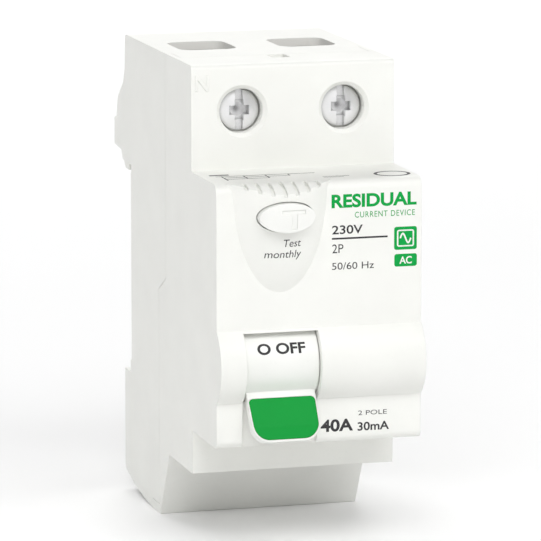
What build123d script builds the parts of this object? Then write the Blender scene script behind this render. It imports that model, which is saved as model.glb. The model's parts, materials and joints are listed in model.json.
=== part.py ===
from build123d import *
import math
import os

# Two-pole residual current device for a 35 mm rail, as an assembly of separate pieces.
# Millimetres. +X is to the right seen from the front, -Y is the front, +Z is up.
# The origin is the centre of the flat seat that lies against the rail. Everything is in
# the OFF position, with the terminals open and the rail clip pushed home.

# ---- Casing ---------------------------------------------------------------------------
WIDTH = 36.0  # two 18 mm modules
HALF = WIDTH / 2
WALL = 1.5
INSIDE_X = HALF - WALL
TOP_Z = 40.6
SHOULDER_Y = -42.0  # front of the terminal block
SHELF_Z = 22.5  # top of the nose
NOSE_Y = -57.94
NOSE_LOW_Z = -22.5
CHIN_Y = -42.2
CHIN_LOW_Z = -30.0
SEAT_LOW_Z = -18.0
SLOT_TOP_Z = 17.6  # upper edge of a 35 mm rail, with play
FOOT_Y = 4.9
RAIL_GAP = 1.3  # room behind the hook's lip for the 1 mm thick rail
LIP_LOW_Z = 16.45
SEAM_UPPER_Y = -24.5
SEAM_LOWER_Y = -19.65
SEAM_TOP_Y = -31.0
SEAM_GAP = 0.05
TONGUE_X = 16.9  # half width of the case's tongue in the top face

# ---- Toggle lever ---------------------------------------------------------------------
LEVER_Y = -53.5
LEVER_Z = -8.6
BULGE_R = 7.6
DRUM_R = 6.4
DRUM_CLEAR_R = 6.65
LEVER_X = -6.93
DRUM_HALF = 6.4
HANDLE_HALF = 6.1
INSERT_TOP = 7.9  # along the handle's face from its tip
WINDOW_LEFT = -13.46
WINDOW_RIGHT = -0.39
WINDOW_TOP_Z = -2.86
POCKET_TOP_Z = -14.75
POCKET_Y = -57.0
AXLE_R = 1.3
LEVER_TRAVEL = 84.0

# ---- Test button and its boss ---------------------------------------------------------
BOSS_X = -6.9
BOSS_Y = -50.46
BOSS_Z = 22.4
BOSS_R = 11.1  # horizontal radius of the spheroid that the boss is cut from
BOSS_HEIGHT = 25.04
ROLL_R = 6.3  # rolled upper edge of the boss
ROLL_Y = -57.5
ROLL_Z = SHELF_Z - ROLL_R
GROOVES = 7
GROOVE_PITCH = 2.1
GROOVE_WIDTH = 0.6
GROOVE_DEPTH = 0.4
BUTTON_X = -6.6
BUTTON_Z = 17.15
BUTTON_LONG = 4.9  # half lengths of the oval
BUTTON_SHORT = 2.5
BUTTON_GAP = 0.16
BUTTON_FACE_Y = -62.7
BUTTON_STEM_Y = -50.5
BLADE_Y = -50.0
BLADE_Z = 9.1
BLADE_FOOT_R = 0.4

# ---- Terminals ------------------------------------------------------------------------
POLE_X = 9.04
SCREW_Z = 32.5
SCREW_HEAD_R = 3.5
SCREW_FACE_Y = -40.3
SCREW_SHOULDER_Y = -38.7
SCREW_TIP_Y = -22.65
SCREW_R = 2.5
BORE_R = 3.85
SINK_R = 4.5
CABLE_HALF = 5.15
CABLE_FRONT_Y = -21.4
CABLE_BACK_Y = -9.9
CAGE_HALF = 5.9
CAGE_INNER = 4.7
CAGE_LOW_Z = 26.5
CAGE_TOP_Z = 37.8
TAB_FRONT_Y = -22.5
STRAP = 1.2  # thickness of the copper straps

# ---- Contacts -------------------------------------------------------------------------
CARRIER_Y = -30.0
CARRIER_Z = -4.0
CARRIER_TURN = 24.0  # from open to closed
CARRIER_R = 2.6
ARM_ROOT = (-27.0, -0.2)  # of the closed contact arm, in y and z
ARM_BEND = (-16.2, 9.3)
ARM_END = (-11.4, 9.3)
TIP_Y = -13.0
FIXED_STRAP_Z = 12.8
TIP_R = 1.6

# ---- Linkage, trip and relay ----------------------------------------------------------
LINK_RADIUS = 4.5  # of its pin on the lever
LINK_START = 51.3  # degrees above +Y
CRANK_RADIUS = 6.0
CRANK_START = 168.0
LINK_X = -7.0
LINK_WIRE_R = 0.6
PLATE_X = 14.1  # inner faces of the mechanism plates
PLATE = 0.8
TRIP_Y = -40.0
TRIP_Z = 4.0
TRIP_AXLE_R = 0.8
RELAY_X = 9.0
RELAY_Y = -47.0
PLUNGER_R = 1.5

# ---- Current transformer and plug-in jaws ---------------------------------------------
TOROID_Y = -12.0
TOROID_Z = -28.0
TOROID_R = 8.5
TOROID_BORE = 5.0
TOROID_HALF = 2.5
WIRE_R = 1.3
JAW_Y = -34.0
SOCKET_HALF_X = 4.2
SOCKET_HALF_Y = 2.6

# ---- Rail clip ------------------------------------------------------------------------
CLIP_HALF = 4.8
CLIP_FRONT_Y = 1.3
CLIP_BACK_Y = 3.4
CLIP_TOP_Z = -15.8
CLIP_LOW_Z = -41.9
CLIP_PLAY = 0.1  # to each side of its channel


# ---- Helpers --------------------------------------------------------------------------
def block(x, y, z):
    """Box between two limits on each axis."""
    middle = [(low + high) / 2 for low, high in (x, y, z)]
    return Pos(*middle) * Box(*[high - low for low, high in (x, y, z)])


def rod_x(y, z, radius, x):
    return Pos((x[0] + x[1]) / 2, y, z) * Rot(0, 90, 0) * Cylinder(radius, x[1] - x[0])


def rod_y(x, z, radius, y):
    return Pos(x, (y[0] + y[1]) / 2, z) * Rot(90, 0, 0) * Cylinder(radius, y[1] - y[0])


def rod_z(x, y, radius, z):
    return Pos(x, y, (z[0] + z[1]) / 2) * Cylinder(radius, z[1] - z[0])


def slab(outline, x):
    """Side outline in (y, z), made solid between two places along X."""
    return extrude(Plane.YZ.offset(x[0]) * outline, x[1] - x[0])


def polygon(*points):
    return make_face(Polyline(*points, close=True))


def ribbon(points, thickness):
    """Outline of a bent strip of even thickness, from its middle line."""
    sides = ([], [])
    for i, (y, z) in enumerate(points):
        steps = []
        if i:
            steps.append((Vector(y, z) - Vector(*points[i - 1])).normalized())
        if i < len(points) - 1:
            steps.append((Vector(*points[i + 1]) - Vector(y, z)).normalized())
        normals = [Vector(-step.Y, step.X) for step in steps]
        mean = (normals[0] + normals[-1]).normalized()
        reach = thickness / 2 / mean.dot(normals[0])
        sides[0].append((y + mean.X * reach, z + mean.Y * reach))
        sides[1].append((y - mean.X * reach, z - mean.Y * reach))
    return polygon(*sides[0], *reversed(sides[1]))


def tube(points, radius, bend):
    """Round wire along straight runs joined by arcs."""
    path = FilletPolyline(*points, radius=bend)
    return sweep(Plane(path @ 0, z_dir=path % 0) * Circle(radius), path)


def coil(radius, wire_r, turns, length):
    """Helical spring about Z, standing on the origin, its wire inside the length."""
    rise = length - 2 * wire_r
    path = Pos(0, 0, wire_r) * Helix(pitch=rise / turns, height=rise, radius=radius)
    return sweep(Plane(path @ 0, z_dir=path % 0) * Circle(wire_r), path)


def turned(shape, degrees, y, z):
    """Turn a shape about an axis along X through (y, z)."""
    return Pos(0, y, z) * Rot(degrees, 0, 0) * Pos(0, -y, -z) * shape


def around(y, z, radius, degrees):
    """Point on a circle in the side plane, in degrees above +Y."""
    angle = math.radians(degrees)
    return (y + radius * math.cos(angle), z + radius * math.sin(angle))


def oval(long_half, short_half, y):
    """Upright oval prism at the button's place, between two places along Y."""
    plane = Plane((BUTTON_X, y[1], BUTTON_Z), x_dir=(1, 0, 0), z_dir=(0, -1, 0))
    return extrude(plane * Ellipse(long_half, short_half), y[1] - y[0])


# ---- Casing ---------------------------------------------------------------------------
def casing_outline():
    """Side outline of the closed casing, in (y, z)."""
    half_chord = math.sqrt(BULGE_R**2 - (LEVER_Y - NOSE_Y) ** 2)
    back = Polyline(
        (SHOULDER_Y, TOP_Z), (3.75, TOP_Z), (4.3, 34.0), (5.4, 31.75), (9.3, 28.7), (10.3, 25.0)
    )
    hook_and_seat = Polyline(
        (10.3, 25.0),
        (11.85, 24.6),
        (11.9, 19.8),
        (6.9, 19.4),
        (6.0, 17.9),
        (4.75, SLOT_TOP_Z),
        (3.8, LIP_LOW_Z + 0.1),
        (3.3, LIP_LOW_Z),
        (RAIL_GAP, LIP_LOW_Z),
        (RAIL_GAP, SLOT_TOP_Z),
        (0.0, SLOT_TOP_Z),
        (0.0, SEAT_LOW_Z),
        (0.85, SEAT_LOW_Z),
        (0.85, -20.3),
        (FOOT_Y, -20.3),
        (FOOT_Y, -38.0),
        (4.3, -38.9),
    )
    belly = ThreePointArc((4.3, -38.9), (-8.5, -41.45), (-20.0, -41.94))
    chin = Polyline(
        (-20.0, -41.94),
        (-26.55, CHIN_LOW_Z),
        (CHIN_Y, CHIN_LOW_Z),
        (CHIN_Y, NOSE_LOW_Z),
        (NOSE_Y, NOSE_LOW_Z),
        (NOSE_Y, LEVER_Z - half_chord),
    )
    bulge = ThreePointArc(
        (NOSE_Y, LEVER_Z - half_chord),
        (LEVER_Y - BULGE_R, LEVER_Z),
        (NOSE_Y, LEVER_Z + half_chord),
    )
    front = Polyline(
        (NOSE_Y, LEVER_Z + half_chord),
        (NOSE_Y, SHELF_Z),
        (SHOULDER_Y, SHELF_Z),
        (SHOULDER_Y, TOP_Z),
    )
    face = make_face([back, hook_and_seat, belly, chin, bulge, front])
    for place, radius in (
        ((SHOULDER_Y, TOP_Z), 0.8),
        ((NOSE_Y, SHELF_Z), 1.7),
        ((NOSE_Y, NOSE_LOW_Z), 1.3),
        ((3.75, TOP_Z), 0.8),
        ((4.3, 34.0), 1.5),
        ((5.4, 31.75), 1.5),
        ((9.3, 28.7), 2.0),
    ):
        corner = face.vertices().sort_by_distance(Vector(*place))[0]
        face = fillet(corner, radius)
    return face


def boss(radius, height, roll, top):
    """Front part of a spheroid under the rolled upper edge, for the test button."""
    low, high = -50.0, 10.0  # degrees of the spheroid that are needed
    side = EllipticalCenterArc((0, 0), radius, height, start_angle=low, arc_size=high - low)
    start, end = side @ 0, side @ 1
    quarter = make_face([side, Polyline(end, (0, end.Y), (0, start.Y), start)])
    body = revolve(Plane.XZ * quarter, Axis.Z)
    body = Pos(BOSS_X, BOSS_Y, BOSS_Z) * body
    lid = make_face(
        [
            Polyline((ROLL_Y + 2.5, top), (ROLL_Y, top)),
            ThreePointArc(
                (ROLL_Y, top),
                around(ROLL_Y, ROLL_Z, roll, 135),
                (ROLL_Y - roll, ROLL_Z),
            ),
            Polyline(
                (ROLL_Y - roll, ROLL_Z),
                (ROLL_Y - roll, -5.0),
                (ROLL_Y + 2.5, -5.0),
                (ROLL_Y + 2.5, top),
            ),
        ]
    )
    return body & slab(lid, (-HALF, HALF))


def boss_grooves():
    """Thin finger grooves over the rolled edge."""
    ring = Circle(ROLL_R + 1.0) - Circle(ROLL_R - GROOVE_DEPTH)
    ring = Pos(ROLL_Y, ROLL_Z) * ring
    ring &= polygon((-70.0, 18.8), (-57.2, 18.8), (-57.2, 30.0), (-70.0, 30.0))
    cuts = []
    for k in range(GROOVES):
        x = BOSS_X + (k - (GROOVES - 1) / 2) * GROOVE_PITCH
        cuts.append(slab(ring, (x - GROOVE_WIDTH / 2, x + GROOVE_WIDTH / 2)))
    return cuts


def cavity():
    """Space inside the closed casing."""
    outline = polygon(
        (SHOULDER_Y + WALL, TOP_Z - WALL),
        (2.3, TOP_Z - WALL),
        (3.1, 31.5),
        (3.1, 26.0),
        (-WALL, 22.0),
        (-WALL, -38.7),
        (-8.5, -39.9),
        (-19.15, -40.36),
        (-25.66, CHIN_LOW_Z + WALL),
        (CHIN_Y + WALL, CHIN_LOW_Z + WALL),
        (CHIN_Y + WALL, NOSE_LOW_Z + WALL),
        (NOSE_Y + WALL, NOSE_LOW_Z + WALL),
        (NOSE_Y + WALL, SHELF_Z - WALL),
        (SHOULDER_Y + WALL, SHELF_Z - WALL),
    )
    inside = slab(outline, (-INSIDE_X, INSIDE_X))
    inside += rod_x(LEVER_Y, LEVER_Z, BULGE_R - WALL, (-INSIDE_X, INSIDE_X))
    inside += boss(BOSS_R - 1.3, BOSS_HEIGHT - 1.3, ROLL_R - WALL, SHELF_Z - WALL)
    return inside


def front_zone(gap):
    """Everything in front of the seam between cover and case."""
    side = polygon(
        (-70.0, 50.0),
        (SEAM_UPPER_Y - gap, 50.0),
        (SEAM_UPPER_Y - gap, 1.04 - gap),
        (SEAM_LOWER_Y - gap, -1.5 - gap),
        (SEAM_LOWER_Y - gap, -40.25 - gap),
        (-14.6 - gap, -40.25 - gap),
        (-14.6 - gap, -50.0),
        (-70.0, -50.0),
    )
    tongue = block(
        (-TONGUE_X - gap, TONGUE_X + gap),
        (SEAM_TOP_Y - gap, -20.0),
        (TOP_Z - WALL - gap, 50.0),
    )
    return slab(side, (-HALF, HALF)) - tongue


def cover_ribs():
    """Moulded walls inside the cover."""
    lever_bearing = block((0.1, 1.4), (NOSE_Y + 1.0, -47.0), (-15.5, -1.5))
    spring_seat = block((-11.0, -2.4), (-52.0, -51.0), (12.8, SHELF_Z - 1.0))
    spring_seat -= rod_y(BUTTON_X, BUTTON_Z, PLUNGER_R + 0.3, (-53.0, -50.0))
    pocket_floor = block((-14.9, 1.0), (NOSE_Y + 0.5, POCKET_Y + 1.4), (NOSE_LOW_Z + 1, POCKET_TOP_Z))
    ribs = lever_bearing + spring_seat + pocket_floor
    for side in (-1, 1):
        x = side * POLE_X
        ribs += rod_y(x, SCREW_Z, BORE_R + 1.2, (SHOULDER_Y + 1.0, SCREW_SHOULDER_Y + 1.0))
    return ribs


def cover_openings():
    """Everything that is cut out of the cover after its ribs are in place."""
    cuts = boss_grooves()
    window = (WINDOW_LEFT, WINDOW_RIGHT)
    cuts.append(block(window, (-64.0, LEVER_Y), (POCKET_TOP_Z, WINDOW_TOP_Z)))
    cuts.append(block(window, (-64.0, POCKET_Y), (NOSE_LOW_Z - 1, POCKET_TOP_Z)))
    cuts.append(rod_x(LEVER_Y, LEVER_Z, DRUM_CLEAR_R, window))
    cuts.append(rod_x(LEVER_Y, LEVER_Z, AXLE_R + 0.01, (0.0, 1.5)))
    cuts.append(oval(BUTTON_LONG + BUTTON_GAP, BUTTON_SHORT + BUTTON_GAP, (-66.0, -55.0)))
    for side in (-1, 1):
        x = side * POLE_X
        cuts.append(rod_y(x, SCREW_Z, BORE_R, (SHOULDER_Y - 1, SCREW_SHOULDER_Y + 0.1)))
        cuts.append(rod_y(x, SCREW_Z, SCREW_R + 0.15, (SCREW_SHOULDER_Y - 1, SCREW_SHOULDER_Y + 2)))
        sink = Cone(BORE_R, SINK_R, SINK_R - BORE_R, align=(Align.CENTER, Align.CENTER, Align.MAX))
        cuts.append(Pos(x, SHOULDER_Y, SCREW_Z) * Rot(90, 0, 0) * sink)
        cuts.append(
            block(
                (side * 9.0 - SOCKET_HALF_X, side * 9.0 + SOCKET_HALF_X),
                (JAW_Y - SOCKET_HALF_Y, JAW_Y + SOCKET_HALF_Y),
                (CHIN_LOW_Z - 1, CHIN_LOW_Z + WALL + 0.5),
            )
        )
    cuts.append(block((-1.7, 1.5), (-35.0, SEAM_TOP_Y + 1), (TOP_Z - WALL - 1, TOP_Z + 1)))
    return cuts


def neutral_letter():
    """Raised N beside the neutral terminal."""
    low, high, left, right, stroke = 36.2, 38.9, -17.3, -15.0, 0.38
    sketch = polygon(
        (left, low),
        (left, high),
        (left + stroke, high),
        (right - stroke, low + 0.75),
        (right - stroke, high),
        (right, high),
        (right, low),
        (right - stroke, low),
        (left + stroke, high - 0.75),
        (left + stroke, low),
    )
    plane = Plane((0, SHOULDER_Y + 0.2, 0), x_dir=(1, 0, 0), z_dir=(0, -1, 0))
    return extrude(plane * sketch, 0.35)


def casing_shell():
    """Closed casing with its cavity, before it is parted into cover and case."""
    outer = slab(casing_outline(), (-HALF, HALF))
    outer += boss(BOSS_R, BOSS_HEIGHT, ROLL_R, SHELF_Z)
    return outer - cavity()


def front_cover(shell):
    cover = shell & front_zone(SEAM_GAP)
    cover += cover_ribs()
    # Guide collar of the test button, ending within the wall of the boss.
    collar = oval(BUTTON_LONG + 1.0, BUTTON_SHORT + 1.0, (-64.0, -57.5))
    cover += collar & boss(BOSS_R - 0.6, BOSS_HEIGHT - 0.6, ROLL_R - 0.7, SHELF_Z - 0.7)
    cover -= cover_openings()
    return cover + neutral_letter()


def cable_holes():
    """Rounded holes in the top face, one above each terminal cage."""
    holes = []
    for side in (-1, 1):
        plane = Plane((side * POLE_X, (CABLE_FRONT_Y + CABLE_BACK_Y) / 2, TOP_Z - 2.5))
        outline = RectangleRounded(2 * CABLE_HALF, CABLE_BACK_Y - CABLE_FRONT_Y, 2.2)
        holes.append(extrude(plane * outline, 4.0))
    return holes


def rear_case(shell):
    case = shell - front_zone(-SEAM_GAP)
    # Hook lip that goes behind the upper edge of the rail.
    case += block((-17.4, 17.4), (1.25, 3.9), (16.5, SLOT_TOP_Z + 0.3))
    # Terminal floors, one for each pole, either side of the divider.
    for side in (-1, 1):
        inner, outer = sorted((side * 0.75, side * (INSIDE_X + 0.5)))
        case += block((inner, outer), (TAB_FRONT_Y + STRAP + 0.3, 0.5), (23.4, 24.4))
    # Snap tab of the tongue, in the notch of the cover.
    case += block((-1.3, 1.1), (-34.2, SEAM_TOP_Y + 0.5), (TOP_Z - 1.4, TOP_Z - 0.75))
    # Relief grooves at the hook and at the clip's jaw, so that the seat is flat and free.
    case -= block((-HALF - 1, HALF + 1), (-0.3, 1.0), (16.2, SLOT_TOP_Z))
    case -= block((-CLIP_HALF - 1, CLIP_HALF + 1), (-0.3, 1.0), (SEAT_LOW_Z - 1, -15.5))
    # Channel for the rail clip.
    channel_y = (CLIP_FRONT_Y - CLIP_PLAY, CLIP_BACK_Y + CLIP_PLAY)
    case -= block((-CLIP_HALF - CLIP_PLAY, CLIP_HALF + CLIP_PLAY), channel_y, (-45.0, -15.0))
    case -= cable_holes()
    return case


def pole_divider():
    outline = polygon(
        (-26.8, 39.0),
        (2.2, 39.0),
        (3.0, 31.5),
        (3.0, 26.2),
        (-WALL, 22.1),
        (-WALL, -16.4),
        (-26.8, -16.4),
    )
    return slab(outline, (-0.6, 0.6))


# ---- Rail clip ------------------------------------------------------------------------
def din_clip():
    plate = block((-CLIP_HALF, CLIP_HALF), (CLIP_FRONT_Y, CLIP_BACK_Y), (CLIP_LOW_Z, CLIP_TOP_Z))
    # Sloped jaw that the rail pushes aside.
    wedge = polygon(
        (CLIP_FRONT_Y + 0.7, CLIP_TOP_Z + 0.1),
        (CLIP_BACK_Y + 0.1, CLIP_TOP_Z + 0.1),
        (CLIP_BACK_Y + 0.1, CLIP_TOP_Z - 1.6),
    )
    plate -= slab(wedge, (-CLIP_HALF - 1, CLIP_HALF + 1))
    window = block((-2.2, 2.2), (0.0, 5.0), (-34.0, -23.5))
    slot = block((-2.6, 2.6), (0.0, 5.0), (-41.0, -39.9))
    return plate - window - slot


# ---- Terminals ------------------------------------------------------------------------
def terminal_screw(x):
    """Domed screw with a slot and a cross recess. The threads are plain cylinders."""
    dome_r = 10.5
    head = rod_y(x, SCREW_Z, SCREW_HEAD_R, (SCREW_FACE_Y, SCREW_SHOULDER_Y))
    head &= Pos(x, SCREW_FACE_Y + dome_r, SCREW_Z) * Sphere(dome_r)
    body = head + rod_y(x, SCREW_Z, SCREW_R, (SCREW_SHOULDER_Y - 0.2, SCREW_TIP_Y - 0.9))
    tip = Cone(SCREW_R, SCREW_R - 0.7, 0.9, align=(Align.CENTER, Align.CENTER, Align.MAX))
    body += Pos(x, SCREW_TIP_Y, SCREW_Z) * Rot(-90, 0, 0) * tip
    slot = block((x - 0.7, x + 0.7), (-42.0, SCREW_FACE_Y + 1.15), (SCREW_Z - 4, SCREW_Z + 4))
    cross = block((x - 1.75, x + 1.75), (-42.0, SCREW_FACE_Y + 1.5), (SCREW_Z - 0.8, SCREW_Z + 0.8))
    cross += block((x - 0.8, x + 0.8), (-42.0, SCREW_FACE_Y + 1.5), (SCREW_Z - 1.75, SCREW_Z + 1.75))
    pit = Cone(1.3, 0.1, 1.4, align=(Align.CENTER, Align.CENTER, Align.MIN))
    pit = Pos(x, SCREW_FACE_Y + 1.45, SCREW_Z) * Rot(-90, 0, 0) * pit
    return body - slot - cross - pit


def terminal_cage(x):
    """Box clamp, open above and below, pulled forward by the screw."""
    front, inner_front, inner_back, back = -30.4, -27.8, CABLE_BACK_Y, CABLE_BACK_Y + STRAP + 0.3
    cage = block((x - CAGE_HALF, x + CAGE_HALF), (front, back), (CAGE_LOW_Z, CAGE_TOP_Z))
    cage -= block((x - CAGE_INNER, x + CAGE_INNER), (inner_front, inner_back), (20.0, 45.0))
    return cage - rod_y(x, SCREW_Z, SCREW_R + 0.03, (front - 1, inner_front + 1))


def fixed_contact(x):
    """Copper strap from the terminal tab down to the fixed contact."""
    middle = TAB_FRONT_Y + STRAP / 2
    run = ribbon(
        [(middle, 37.4), (middle, FIXED_STRAP_Z + STRAP / 2), (-11.2, FIXED_STRAP_Z + STRAP / 2)],
        STRAP,
    )
    strap = slab(run, (x - 2.6, x + 2.6))
    tab = block((x - 4.2, x + 4.2), (TAB_FRONT_Y, TAB_FRONT_Y + STRAP), (25.0, 37.4))
    return strap + tab


def fixed_tip(x):
    return rod_z(x, TIP_Y, TIP_R, (FIXED_STRAP_Z - 1.4, FIXED_STRAP_Z))


# ---- Contact carrier, built closed and then opened --------------------------------------
ARM_TILT = math.degrees(math.atan2(ARM_BEND[1] - ARM_ROOT[1], ARM_BEND[0] - ARM_ROOT[0]))


def opened(shape):
    return turned(shape, -CARRIER_TURN, CARRIER_Y, CARRIER_Z)


def on_arm(along, above):
    """Place along and above the closed contact arm, in (y, z)."""
    angle = math.radians(ARM_TILT)
    y = ARM_ROOT[0] + along * math.cos(angle) - above * math.sin(angle)
    z = ARM_ROOT[1] + along * math.sin(angle) + above * math.cos(angle)
    return (y, z)


def moving_contact(x):
    arm = slab(ribbon([ARM_ROOT, ARM_BEND, ARM_END], STRAP), (x - 1.6, x + 1.6))
    return opened(arm)


def moving_tip(x):
    top = ARM_END[1] + STRAP / 2
    return opened(rod_z(x, TIP_Y, TIP_R - 0.1, (top, top + 1.4)))


def contact_spring(x):
    """Presses the contact arm down from the carrier's bridge."""
    y, z = on_arm(4.5, STRAP / 2 + 0.05)
    return opened(Pos(x, y, z) * Rot(ARM_TILT, 0, 0) * coil(1.35, 0.22, 3, 2.6))


def carrier_bracket(x):
    """Two cheeks, a bridge above the arm and a ledge below its root."""
    cheek = polygon(
        on_arm(-4.7, -2.6),
        on_arm(-4.7, 1.6),
        on_arm(0.5, 4.6),
        on_arm(7.4, 4.6),
        on_arm(7.4, -1.6),
        on_arm(1.0, -2.6),
    )
    bridge = polygon(on_arm(1.5, 3.4), on_arm(1.5, 4.6), on_arm(7.4, 4.6), on_arm(7.4, 3.4))
    ledge = polygon(on_arm(-1.0, -2.4), on_arm(-1.0, -0.65), on_arm(2.5, -0.65), on_arm(2.5, -2.4))
    bracket = slab(cheek, (x - 3.4, x - 2.0)) + slab(cheek, (x + 2.0, x + 3.4))
    return bracket + slab(bridge, (x - 2.1, x + 2.1)) + slab(ledge, (x - 2.1, x + 2.1))


def carrier_crank():
    """Slotted arm that the link's hooked end works in."""
    turn = CRANK_START + CARRIER_TURN
    plate = Pos(CRANK_RADIUS / 2, 0) * Rectangle(CRANK_RADIUS, 4.4)
    plate += Pos(CRANK_RADIUS, 0) * Circle(2.2)
    plate -= Pos(CRANK_RADIUS - 1.0, 0) * SlotOverall(2.0 + 2.0, 2.0)
    outline = Pos(CARRIER_Y, CARRIER_Z) * Rot(0, 0, turn) * plate
    return slab(outline, (-5.4, -3.6))


def contact_carrier():
    shaft = rod_x(CARRIER_Y, CARRIER_Z, CARRIER_R, (-PLATE_X + 0.6, PLATE_X - 0.6))
    carrier = shaft + carrier_bracket(-9.0) + carrier_bracket(9.0) + carrier_crank()
    carrier -= rod_x(CARRIER_Y, CARRIER_Z, 1.04, (-HALF, HALF))
    return opened(carrier)


def carrier_axle():
    return rod_x(CARRIER_Y, CARRIER_Z, 1.0, (-15.4, 15.4))


def opening_spring():
    """Torsion spring round the carrier's shaft, with two straight ends."""
    radius, wire_r = 3.1, 0.3
    spring = Pos(1.3, CARRIER_Y, CARRIER_Z) * Rot(0, 90, 0) * coil(radius, wire_r, 3, 3.3)
    return spring


def arc_plates(x):
    """Stack of steel plates with a notch for the moving arm."""
    stack = []
    for k in range(5):
        z = 3.0 + 2.7 * k
        plate = block((x - 4.5, x + 4.5), (-7.4, -1.9), (z, z + 0.8))
        stack.append(plate - block((x - 2.3, x + 2.3), (-8.0, -4.2), (z - 1, z + 2)))
    return Compound(children=[Part(plate.wrapped) for plate in stack])


def arc_cheeks(x):
    left = block((x - 5.3, x - 4.55), (-7.6, -1.55), (2.2, 16.2))
    right = block((x + 4.55, x + 5.3), (-7.6, -1.55), (2.2, 16.2))
    return Compound(children=[Part(left.wrapped), Part(right.wrapped)])


def braid(x):
    """Flexible copper lead from the contact arm to the main conductor."""
    points = [(x, -19.4, -0.9), (x, -18.4, -4.0), (x, -20.2, -7.2), (x, -20.2, -10.0)]
    return tube(points, 0.8, 2.5)


# ---- Linkage and frame ------------------------------------------------------------------
LEVER_PIN = around(LEVER_Y, LEVER_Z, LINK_RADIUS, LINK_START)
CRANK_PIN = around(CARRIER_Y, CARRIER_Z, CRANK_RADIUS, CRANK_START)


def mechanism_link():
    """Bent wire from the lever to the carrier's crank."""
    far_x = LINK_X + 4.0
    points = [
        (far_x, *LEVER_PIN),
        (LINK_X, *LEVER_PIN),
        (LINK_X, *CRANK_PIN),
        (far_x, *CRANK_PIN),
    ]
    return tube(points, LINK_WIRE_R, 0.8)


def mechanism_plate_left():
    outline = polygon(
        (-56.2, -13.0),
        (-56.2, -3.4),
        (-45.0, 6.0),
        (-36.0, 7.5),
        (-26.0, 1.0),
        (-26.0, -9.0),
        (-41.0, -13.0),
    )
    plate = slab(outline, (-PLATE_X - PLATE, -PLATE_X))
    return plate - axle_holes((-HALF, 0.0), True)


def mechanism_plate_right():
    outline = polygon(
        (-43.5, 1.5),
        (-43.5, 7.0),
        (-36.0, 7.5),
        (-26.0, 1.0),
        (-26.0, -9.0),
        (-34.0, -9.0),
    )
    plate = slab(outline, (PLATE_X, PLATE_X + PLATE))
    return plate - axle_holes((0.0, HALF), False)


def axle_holes(x, with_lever):
    holes = [
        rod_x(CARRIER_Y, CARRIER_Z, 1.01, x),
        rod_x(TRIP_Y, TRIP_Z, TRIP_AXLE_R + 0.01, x),
    ]
    if with_lever:
        holes.append(rod_x(LEVER_Y, LEVER_Z, AXLE_R + 0.01, x))
    return holes


# ---- Toggle lever -----------------------------------------------------------------------
HANDLE_TIP = (-62.95, -20.75)
HANDLE_FACE = Vector(0, -0.85, 0.527)


def handle_block():
    """Handle, with its front face sloping down and forward, before the insert's pocket."""
    profile = polygon(
        (-56.0, -11.0),
        (-58.15, -12.75),
        (-58.45, -13.35),
        (-58.95, -13.95),
        (-62.1, -18.2),
        (-62.8, -20.2),
        HANDLE_TIP,
        (-61.9, -20.95),
        (-57.2, -14.25),
        (-55.3, -12.8),
    )
    body = slab(profile, (LEVER_X - 7, LEVER_X + 7))
    return body & face_prism(HANDLE_HALF, 3.0, 0.0)


def face_prism(half, corner_r, lift, top=14.0, top_r=0.5):
    """Prism square to the handle's face, from lift to top along it, with rounded corners."""
    plane = Plane((LEVER_X, *HANDLE_TIP), x_dir=(1, 0, 0), z_dir=HANDLE_FACE)
    outline = polygon((-half, top), (half, top), (half - 0.2, lift), (-half + 0.2, lift))
    outline = fillet(outline.vertices().sort_by(Axis.Y)[:2], corner_r)
    outline = fillet(outline.vertices().sort_by(Axis.Y)[-2:], top_r)
    return extrude(plane * outline, 8.0, both=True)


def insert_zone(gap):
    """Band behind the handle's face that the coloured insert fills."""
    band = polygon(
        (-59.3 + gap, -12.5),
        (-64.0, -19.0),
        (-64.0, -22.0),
        (-62.3 + gap, -22.0),
        (-62.0 + gap, -20.2),
        (-61.35 + gap, -18.6),
        (-57.8 + gap, -13.6),
    )
    prism = face_prism(HANDLE_HALF - 0.3 + gap, 2.7, 0.45 - gap, INSERT_TOP + gap, 0.8)
    return slab(band, (LEVER_X - 7, LEVER_X + 7)) & prism


def toggle_lever():
    drum = rod_x(LEVER_Y, LEVER_Z, DRUM_R, (LEVER_X - DRUM_HALF, LEVER_X + DRUM_HALF))
    lever = drum + (handle_block() - insert_zone(0.03))
    # Slot for the link behind the axle, and the hole for its pin.
    slot = block((LINK_X - 1.1, LINK_X + 1.1), (2.2, 12.0), (-12.0, 12.0))
    lever -= Pos(0, LEVER_Y, LEVER_Z) * Rot(45, 0, 0) * slot
    lever -= rod_x(*LEVER_PIN, LINK_WIRE_R + 0.06, (LINK_X - 1, LINK_X + 4.3))
    return lever - rod_x(LEVER_Y, LEVER_Z, AXLE_R + 0.04, (-HALF, HALF))


def lever_insert():
    return handle_block() & insert_zone(0.0)


def lever_axle():
    return rod_x(LEVER_Y, LEVER_Z, AXLE_R, (-16.2, 1.4))


def lever_spring():
    """Torsion spring on the axle, outside the left plate."""
    return Pos(-16.2, LEVER_Y, LEVER_Z) * Rot(0, 90, 0) * coil(1.75, 0.25, 1.5, 1.2)


# ---- Trip lever and relay ---------------------------------------------------------------
def trip_lever():
    hub = rod_x(TRIP_Y, TRIP_Z, 2.0, (-11.0, 11.5))
    arm = slab(ribbon([(TRIP_Y, TRIP_Z), (-44.0, 3.2), (-48.6, 2.3)], 1.3), (7.6, 10.4))
    finger = slab(ribbon([(TRIP_Y, TRIP_Z), (-40.6, 1.0), (-41.6, -1.2)], 1.4), (-10.2, -8.6))
    return hub + arm + finger - rod_x(TRIP_Y, TRIP_Z, TRIP_AXLE_R + 0.04, (-HALF, HALF))


def trip_axle():
    return rod_x(TRIP_Y, TRIP_Z, TRIP_AXLE_R, (-15.4, 15.4))


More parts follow.
